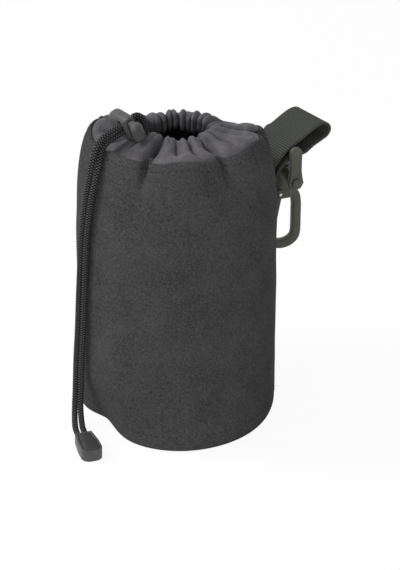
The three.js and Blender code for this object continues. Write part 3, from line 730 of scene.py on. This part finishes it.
def makeCollar(values):
    spots = [Vector((r, 0, z)) for r, z in values["line"]]
    line = smoothLine(spots, values["step"])
    rows = len(line) - 1
    seamRow, rimRow = (min(range(rows), key=lambda i: (line[i] - spots[values[key]]).length)
                       for key in ("seamSpot", "rimSpot"))
    frames = []
    for i, point in enumerate(line):
        ahead = (line[min(i + 1, rows)] - line[max(i - 1, 0)]).normalized()
        frames.append((point, Vector((ahead.z, 0, -ahead.x))))

    def place(u, v):
        i, col = round(v * rows), round(u * values["cols"]) % values["cols"]
        point, outward = frames[i]
        angle = 360 * col / values["cols"]
        turn = math.radians(angle)
        around = Vector((math.cos(turn), math.sin(turn), 0))
        skirt = min(max((i - seamRow) / (rimRow - seamRow), 0), 1)  # from the seam to the rim
        tunnel = max((i - rimRow) / (rows - rimRow), 0)  # from the rim back under the skirt
        crush = Vector((point.x * around.x, point.x * around.y, point.z))
        lean = 7 * skirt * noise.noise(around * 1.9 + Vector((0, 0, 7))) + 1.5 * noise.noise(crush * 0.12)
        depth = values["foldDepth"] * ease(skirt, 0.02, 0.5) * (1 - 0.3 * ease(skirt, 0.8, 1))
        depth *= 1 - 0.7 * ease(tunnel, 0, 0.25)
        lift = depth * (foldCrown(angle + lean, values["valleys"]) - 0.72)
        wander = 0.5 * noise.noise(around * 1.7) + 0.15 * noise.noise(around * 5.3)
        hem = abs(math.sin(math.pi * (values["hemFolds"] * (angle + 0.5 * lean) / 360 + wander))) ** 0.8
        lift += values["hemDepth"] * (ease(skirt, 0.5, 0.9) + ease(tunnel, 0, 0.2)) * (hem - 0.6)
        creases = abs(noise.noise(crush * 0.2 + Vector((4, 0, 0))))
        lift += ease(skirt, 0.02, 0.2) * (0.7 * noise.noise(crush * 0.13) - 0.9 * creases + 0.2)
        near = 1 - ease(40 - point.x, 0, values["wallReach"]) if tunnel == 0 else 0
        sink = topSink(angle, point.z) * near
        dent = pouchDent(angle, min(point.z, 152)) * near + sinkForm["inwards"] * sink
        drawnIn = values["puckerDepth"] * ease(skirt, 0, 0.1) * (1 - ease(skirt, 0.5, 0.95))
        for pucker in wallValues["puckers"]:
            lift -= drawnIn * bell(turnGap(angle + lean, pucker), values["puckerSpread"])
        sway = ease(skirt, 0.2, 0.8)
        out = point.x - dent + outward.x * lift + sway * 0.8 * noise.noise(around * 1.3 + Vector((5, 5, 5)))
        up = point.z + outward.z * lift + sway * 1.1 * noise.noise(around * 1.6 + Vector((9, 2, 4)))
        up += seamLift(angle, 152) * near * ease(point.z, 140, 152) - sink
        up -= sway * hemDrop(angle)
        return Vector((out * around.x, out * around.y, underLock(out * around.x, out * around.y, up)))

    length = rows * values["step"] * mm
    bm, _ = gridShape(values["cols"], rows, place, (0.264, length))
    bmesh.ops.recalc_face_normals(bm, faces=bm.faces)
    area = sum(face.calc_area() for face in bm.faces) * mm * mm
    collar = finishPiece("gathered_collar", bm, "pouch", "collar_cloth", nylon, ["collar"])
    wall = collar.modifiers.new("cloth thickness", "SOLIDIFY")
    wall.thickness, wall.offset = values["thickness"] * mm, 0
    print("collar area", round(area, 5), "skirt length", round(length, 4))
    return collar, area, length


gatheredCollar, collarArea, collarLength = makeCollar(collarValues)
print("collar made")


# rows of stitches round the seam and the base

stitchValues = {"length": 1.4, "width": 0.5, "pitch": 3.1, "seamRow": 149.5, "baseRow": 8.5}


def wallRadius(angle, height):
    r, inset, shoulder = (wallValues[key] for key in ("radius", "inset", "shoulder"))
    foot = footRound(angle)
    if height < foot:
        return r - foot + math.sqrt(foot * foot - (foot - height) ** 2)
    share = max(height - shoulder, 0) / (wallValues["seam"] - shoulder)
    return r - inset + inset * math.sqrt(max(0, 1 - share * share))


def makeStitches(name, height, values):
    bm = bmesh.new()
    count = round(2 * math.pi * wallRadius(0, height) / values["pitch"])
    for i in range(count):
        angle = 360 * i / count
        spot, ahead = (wallPoint(turn, wallRadius(turn, height), height) for turn in (angle, angle + 1))
        made = bmesh.ops.create_icosphere(bm, subdivisions=1, radius=0.5)["verts"]
        bmesh.ops.scale(bm, vec=(values["length"], values["width"], values["width"]), verts=made)
        turn = Vector((ahead - spot)).to_track_quat("X", "Z").to_matrix()
        bmesh.ops.rotate(bm, cent=(0, 0, 0), matrix=turn, verts=made)
        bmesh.ops.translate(bm, vec=spot, verts=made)
    return finishPiece(name, bm, "pouch", "thread", thread)


makeStitches("seam_stitches", stitchValues["seamRow"], stitchValues)
makeStitches("base_stitches", stitchValues["baseRow"], stitchValues)
print("stitches made")


# webbing loop and its bar tacks

strapValues = {
    "width": 25.0,
    "thickness": 1.5,
    "inner": 51.05,  # from the middle out to the two sewn plies
    "outer": 52.85,
    "foot": 98.5,
    "rib": 1.15,
    "step": 0.25,
    "ribDepth": 0.16,
    "edge": 0.35,
}
inner, outer, strapFoot = (strapValues[key] for key in ("inner", "outer", "foot"))
strapLine = [
    (inner, strapFoot), (inner, 109), (inner, 116), (52.06, 121.5), (55.63, 126.26), (61.07, 131.2),
    (68.65, 134.6),
    (74.4, 137.4), (78.8, 139), (82.4, 139.2), (85.2, 137.6), (86.1, 134.9), (84.4, 132.3), (80.6, 130.7),
    (75.8, 128.9), (70.9, 126.4), (65.5, 126),
    (61.07, 125.6), (57.02, 122), (54.05, 117), (outer, 110.9), (outer, 105), (outer, strapFoot),
]


def wallSag(across, y):  # the sewn plies follow the round wall
    return (50 - math.sqrt(2500 - across * across)) * (1 - ease(y, 54.85, 62.85))


def makeStrap(values):
    line = smoothLine([(0, y, z) for y, z in strapLine], values["step"], 0)
    cols, half, thick = len(line) - 1, values["width"] / 2, values["thickness"] / 2
    flat = half - values["edge"]
    section = [(-half, 0), *((flat * (i / 15 - 1), thick) for i in range(31))]
    section += [(half, 0), *((flat * (1 - i / 15), -thick) for i in range(31))]
    rows = len(section)

    def place(u, v):
        i = round(u * cols)
        across, high = section[round(v * rows) % rows]
        ahead = (line[min(i + 1, cols)] - line[max(i - 1, 0)]).normalized()
        normal = Vector((0, -ahead.z, ahead.y))
        rib = 0.5 + 0.5 * math.cos(2 * math.pi * i * values["step"] / values["rib"])
        grain = 0.03 * math.cos(across * 2 * math.pi / 1.7)
        high *= 1 - values["ribDepth"] * (1 - rib) + grain
        spot = line[i] + normal * high + Vector((across, 0, 0))
        spot.y -= wallSag(across, spot.y)
        return spot

    bm, rims = gridShape(cols, rows, place, (cols * values["step"] * mm, 2 * values["width"] * mm))
    bmesh.ops.holes_fill(bm, edges=rims, sides=0)
    bmesh.ops.recalc_face_normals(bm, faces=bm.faces)
    weave = bm.loops.layers.uv["weave"]
    layer = bm.verts.layers.float.new("ribHeight")
    for vert in bm.verts:
        along = vert.link_loops[0][weave].uv.x / mm if vert.link_loops else 0
        vert[layer] = 0.5 + 0.5 * math.cos(2 * math.pi * along / values["rib"])
    return finishPiece("webbing_loop", bm, "pouch", "webbing", webbing, ["strap"])


makeStrap(strapValues)

tackValues = {"width": 21.0, "height": 2.0, "pitch": 0.7, "threadRadius": 0.24, "sides": 6, "out": 54.05,
              "lower": 102.0, "upper": 110.05}


def makeTack(name, height, node, values):
    count = round(values["width"] / values["pitch"])
    points = []
    for i in range(count + 1):
        across = -values["width"] / 2 + values["pitch"] * i
        up = height + (values["height"] / 2 if i % 2 else -values["height"] / 2)
        points.append((across, values["out"] - wallSag(across, 0), up))
    line = smoothLine(points, 0.35, 0.25)
    frames = carried(line)
    cols, sides = len(line) - 1, values["sides"]

    def place(u, v):
        point, side, up = frames[round(u * cols)]
        turn = 2 * math.pi * (round(v * sides) % sides) / sides
        return point + (side * math.cos(turn) + up * math.sin(turn)) * values["threadRadius"]

    bm, rims = gridShape(cols, sides, place, (0.1, 0.002))
    bmesh.ops.holes_fill(bm, edges=rims, sides=0)
    bmesh.ops.recalc_face_normals(bm, faces=bm.faces)
    return finishPiece(name, bm, "pouch", "thread", thread, [node])


makeTack("lower_bar_tack", tackValues["lower"], "strap_tack_lower", tackValues)
makeTack("upper_bar_tack", tackValues["upper"], "strap_tack_upper", tackValues)
print("webbing made")


# moulded pieces: the construction's own shapes with their edges broken

def mouldedShape(node, edgeBreak, segments=3, over=32):
    bm = bmesh.new()
    bm.from_mesh(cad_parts[node].data)
    bmesh.ops.scale(bm, vec=(1 / mm,) * 3, verts=bm.verts)
    bmesh.ops.remove_doubles(bm, verts=bm.verts, dist=0.002)
    bmesh.ops.dissolve_limit(bm, angle_limit=math.radians(1.5), verts=bm.verts, edges=bm.edges)
    sharp = [e for e in bm.edges if e.is_manifold and math.degrees(e.calc_face_angle(0)) > over]
    bmesh.ops.bevel(bm, geom=sharp, offset=edgeBreak, affect="EDGES", segments=segments, profile=0.5,
                    material=-1, clamp_overlap=True)
    return bm


mouldedPieces = (
    ("lock_housing_moulded", "lock_housing", "lock", "black_plastic", blackPlastic, 0.35),
    ("lock_plunger_moulded", "lock_plunger", "plunger", "black_plastic", blackPlastic, 0.3),
    ("cord_end_tray_moulded", "cord_end_tray", "pouch", "black_plastic", blackPlastic, 0.3),
    ("cord_end_cover_moulded", "cord_end_cover", "pouch", "black_plastic", coverPlastic, 0.25),
    ("hook_bail_moulded", "hook_bail", "bail", "hook_plastic", hookPlastic, 0.35),
    ("hook_yoke_moulded", "hook_yoke", "yoke", "hook_plastic", hookPlastic, 0.35),
    ("hook_frame_moulded", "hook_frame", "hook", "hook_plastic", hookPlastic, 0.35),
    ("hook_gate_moulded", "hook_gate", "gate", "hook_plastic", hookPlastic, 0.25),
    ("bail_pin_right_moulded", "bail_pin_right", "bail", "hook_plastic", hookPlastic, 0.25),
    ("bail_pin_left_moulded", "bail_pin_left", "bail", "hook_plastic", hookPlastic, 0.25),
)
for name, node, body, slotName, material, edgeBreak in mouldedPieces:
    shape = mouldedShape(node, edgeBreak)
    finishPiece(name, shape, body, slotName, material, [node], sharp=40)
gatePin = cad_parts["gate_pin"]
gatePin.data.materials.clear()
gatePin.data.materials.append(steel)
lockSpring = finishPiece("lock_spring_wire", mouldedShape("lock_spring", 0.08), "lock", "spring_steel", steel,
                         ["lock_spring"], sharp=40)
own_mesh(lockSpring)
print("moulded pieces made")

for side, (piece, line) in zip((1, -1), freeCords):
    path = [p * mm for p in line]
    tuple(path[0])
    round(lineLength(line), 4)


# floor, background and light

studioValues = {
    "world": 0.36,  # strength of the world on the object
    "lamps": (("key", (-0.75, -1.0, 1.45), 0.8, 21.0), ("fill", (1.1, -0.85, 0.35), 1.2, 8.3)),
    "aim": (0, 0, 0.08),
    "floorDrop": 0.0003,
    "floorShade": 0.1,  # share of the floor's own shading that the camera sees
    "floorWhite": 1.03,
}


def seenDirectly(tree):  # 1 for rays from the camera, and for reflected and passing ones
    rays = addNode(tree, "ShaderNodeLightPath").outputs
    onward = math2(tree, "MAXIMUM", rays["Is Glossy Ray"], rays["Is Transmission Ray"])
    return math2(tree, "MAXIMUM", rays["Is Camera Ray"], onward)


def addStudio(values):
    bm = bmesh.new()
    bmesh.ops.create_grid(bm, x_segments=1, y_segments=1, size=3)
    mesh = bpy.data.meshes.new("floor")
    bm.to_mesh(mesh)
    bm.free()
    floor = bpy.data.objects.new("floor", mesh)
    floor.location.z = -values["floorDrop"]
    scene.collection.objects.link(floor)
    material = bpy.data.materials.new("pale_floor")
    material.use_nodes = True
    tree = material.node_tree
    shader = tree.nodes["Principled BSDF"]
    shader.inputs["Base Color"].default_value = (0.8, 0.8, 0.8, 1)
    shader.inputs["Roughness"].default_value = 0.9
    white = addNode(tree, "ShaderNodeEmission", {"Strength": values["floorWhite"]})
    share = math2(tree, "MULTIPLY", seenDirectly(tree), 1 - values["floorShade"])
    mix = addNode(tree, "ShaderNodeMixShader", {"Fac": share, 1: shader.outputs[0], 2: white.outputs[0]})
    tree.links.new(mix.outputs[0], tree.nodes["Material Output"].inputs["Surface"])
    mesh.materials.append(material)
    world = bpy.data.worlds.new("studio")
    scene.world = world
    world.use_nodes = True
    tree = world.node_tree
    levels = {"Value": seenDirectly(tree), "To Min": values["world"], "To Max": 1.0}
    strength = addNode(tree, "ShaderNodeMapRange", levels)
    tree.links.new(strength.outputs["Result"], tree.nodes["Background"].inputs["Strength"])
    tree.nodes["Background"].inputs["Color"].default_value = (1, 1, 1, 1)
    for name, place, size, power in values["lamps"]:
        lamp = bpy.data.lights.new(name, "AREA")
        lamp.size, lamp.energy = size, power
        holder = bpy.data.objects.new(name, lamp)
        holder.location = place
        back = Vector(place) - Vector(values["aim"])
        holder.rotation_euler = back.to_track_quat("Z", "Y").to_euler()
        scene.collection.objects.link(holder)


addStudio(studioValues)
print("studio set")
